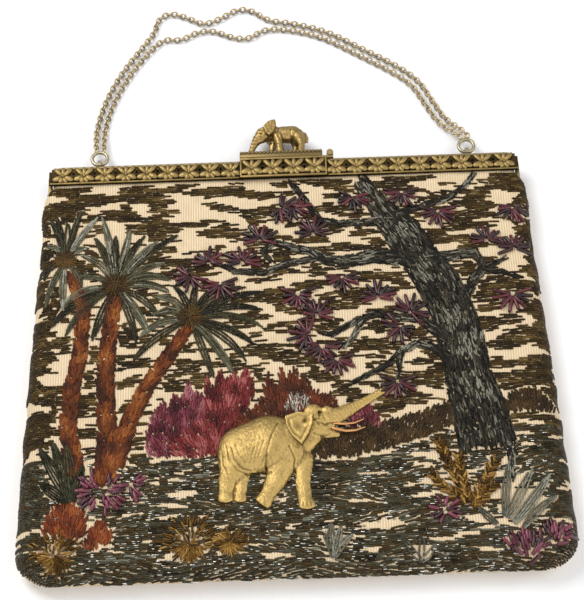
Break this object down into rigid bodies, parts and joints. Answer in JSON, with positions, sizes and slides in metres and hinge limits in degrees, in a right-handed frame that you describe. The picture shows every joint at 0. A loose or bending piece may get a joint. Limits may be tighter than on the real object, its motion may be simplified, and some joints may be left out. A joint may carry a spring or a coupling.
{
  "type": "embroidered handbag",
  "caption": "Flat embroidered cloth evening bag on a hinged, pierced brass frame, with a lift clasp carrying a cast elephant, a raised elephant plaque, and a doubled chain on rings.",
  "frame": {"origin": "on the flat back of the bag where it rests, on the middle of its width", "axes": "+X across the bag to the right, +Y from the bag's bottom towards the frame, +Z out of the embroidered front"},
  "size_m": [0.197, 0.2564, 0.0171],
  "materials": {
    "cream_silk": "ribbed silk, slightly glossy",
    "lining_satin": "plain satin",
    "antique_brass": "aged, dark in the recesses",
    "cast_brass": "aged casting",
    "gilt_brass": "matt gilt, pressed",
    "copper_wire": "copper coloured",
    "ring_metal": "worn plate",
    "chain_metal": "pale antique gold",
    "plum_beads": "glossy bugle beads",
    "frond_thread": "grey-green with metal thread",
    "trunk_thread": "rust brown",
    "bark_thread": "charcoal with metal thread",
    "gold_thread": "gold",
    "rust_thread": "red brown",
    "red_thread": "crimson",
    "plum_thread": "plum",
    "brown_thread": "dark brown",
    "slate_thread": "dark slate"
  },
  "bodies": {
    "back_half": {"embroidered_cover": "cream_silk", "lining": "lining_satin", "back_rail": "antique_brass", "back_gallery": "antique_brass", "hinge_pins": "antique_brass", "ring_lugs": "antique_brass", "carry_rings": "ring_metal", "elephant_plaque": "gilt_brass", "elephant_tusks": "copper_wire", "bead_flowers": "plum_beads", "palm_fronds": "frond_thread", "palm_trunks": "trunk_thread", "flowering_tree": "bark_thread", "plum_beads": "plum_beads", "gold_grass": "gold_thread", "green_blades": "frond_thread", "rocks": "rust_thread", "far_bank": "brown_thread", "red_bush": "red_thread", "plum_bush": "plum_thread", "brown_bush": "brown_thread", "water_dashes": "slate_thread", "sky_dashes": "brown_thread", "chain_outer": "chain_metal", "chain_inner": "chain_metal"},
    "front_half": {"front_rail": "antique_brass", "front_gallery": "antique_brass", "clasp_plate": "antique_brass", "clasp_bracket": "antique_brass", "clasp_pin": "antique_brass"},
    "clasp": {"clasp_bar": "antique_brass", "clasp_elephant": "cast_brass"}
  },
  "joints": [
    {"name": "frame_hinge", "type": "hinge", "parent": "back_half", "child": "front_half", "pos_m": [0, 0.06, 0.0055], "axis": [1, 0, 0], "range_deg": [0, 60]},
    {"name": "clasp_lift", "type": "hinge", "parent": "front_half", "child": "clasp", "pos_m": [0.0184, 0.09223, 0.008], "axis": [0, 0, -1], "range_deg": [0, 70]}
  ]
}
